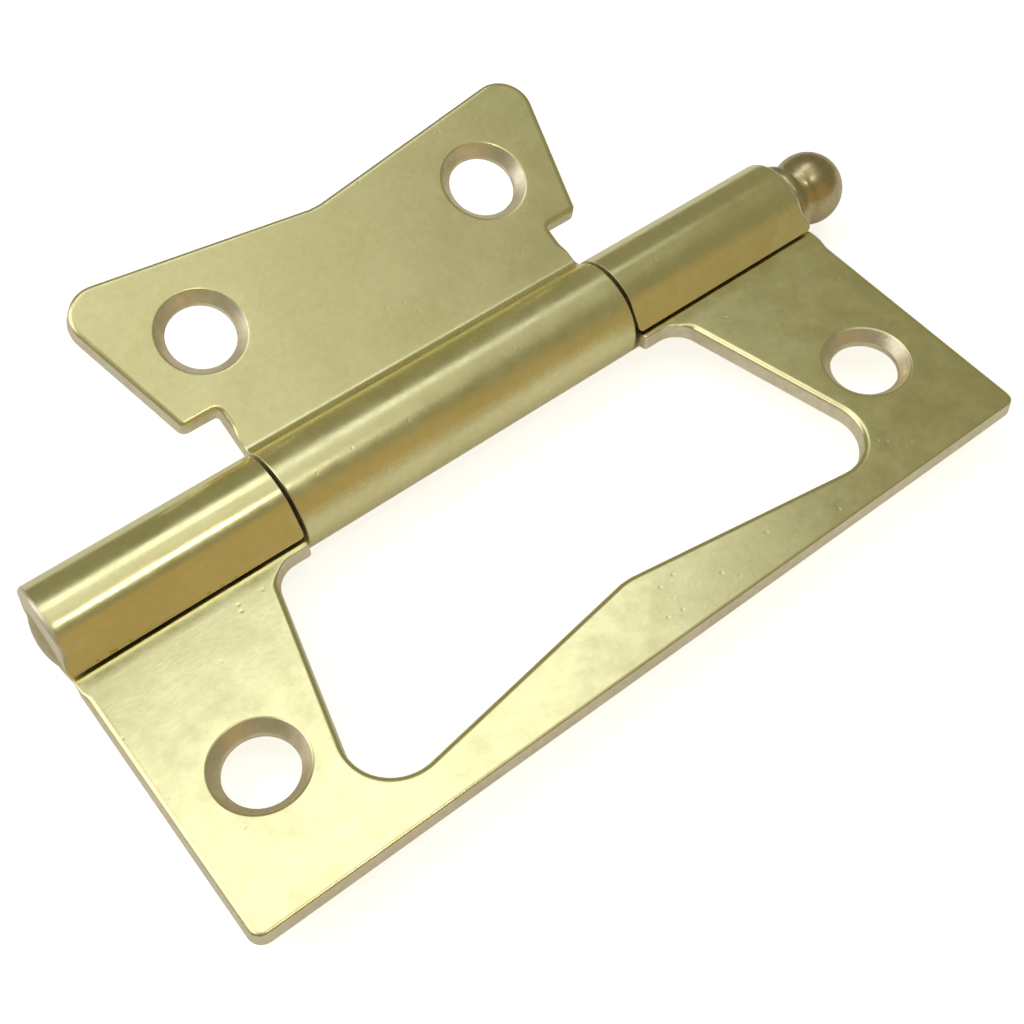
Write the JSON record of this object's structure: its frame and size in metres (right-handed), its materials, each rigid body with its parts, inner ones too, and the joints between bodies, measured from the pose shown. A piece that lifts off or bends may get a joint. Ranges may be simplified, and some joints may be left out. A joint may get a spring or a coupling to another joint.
{
  "type": "door hinge",
  "caption": "Flush door hinge: a small leaf folds into the window of the frame leaf round a ball-headed pin, so it needs no mortise.",
  "frame": {"origin": "centre of the frame leaf's two screw holes, on the face that is screwed down", "axes": "+X along the pin towards its ball head, +Y from the frame leaf's screws towards the pin, +Z out of the face that is screwed down, up through the frame leaf"},
  "size_m": [0.0839, 0.052, 0.0139],
  "materials": {
    "leaf_brass": "satin",
    "pin_brass": "satin"
  },
  "bodies": {
    "frame": {"frame_leaf": "leaf_brass"},
    "inner": {"inner_leaf": "leaf_brass"},
    "pin": {"hinge_pin": "pin_brass"}
  },
  "joints": [
    {"name": "leaf_swing", "type": "hinge", "parent": "frame", "child": "inner", "pos_m": [0, 0.019, 0.001], "axis": [1, 0, 0], "range_deg": [-111, 159]},
    {"name": "pin_pull", "type": "slide", "parent": "frame", "child": "pin", "axis": [1, 0, 0], "range_m": [0, 0.0775]}
  ]
}
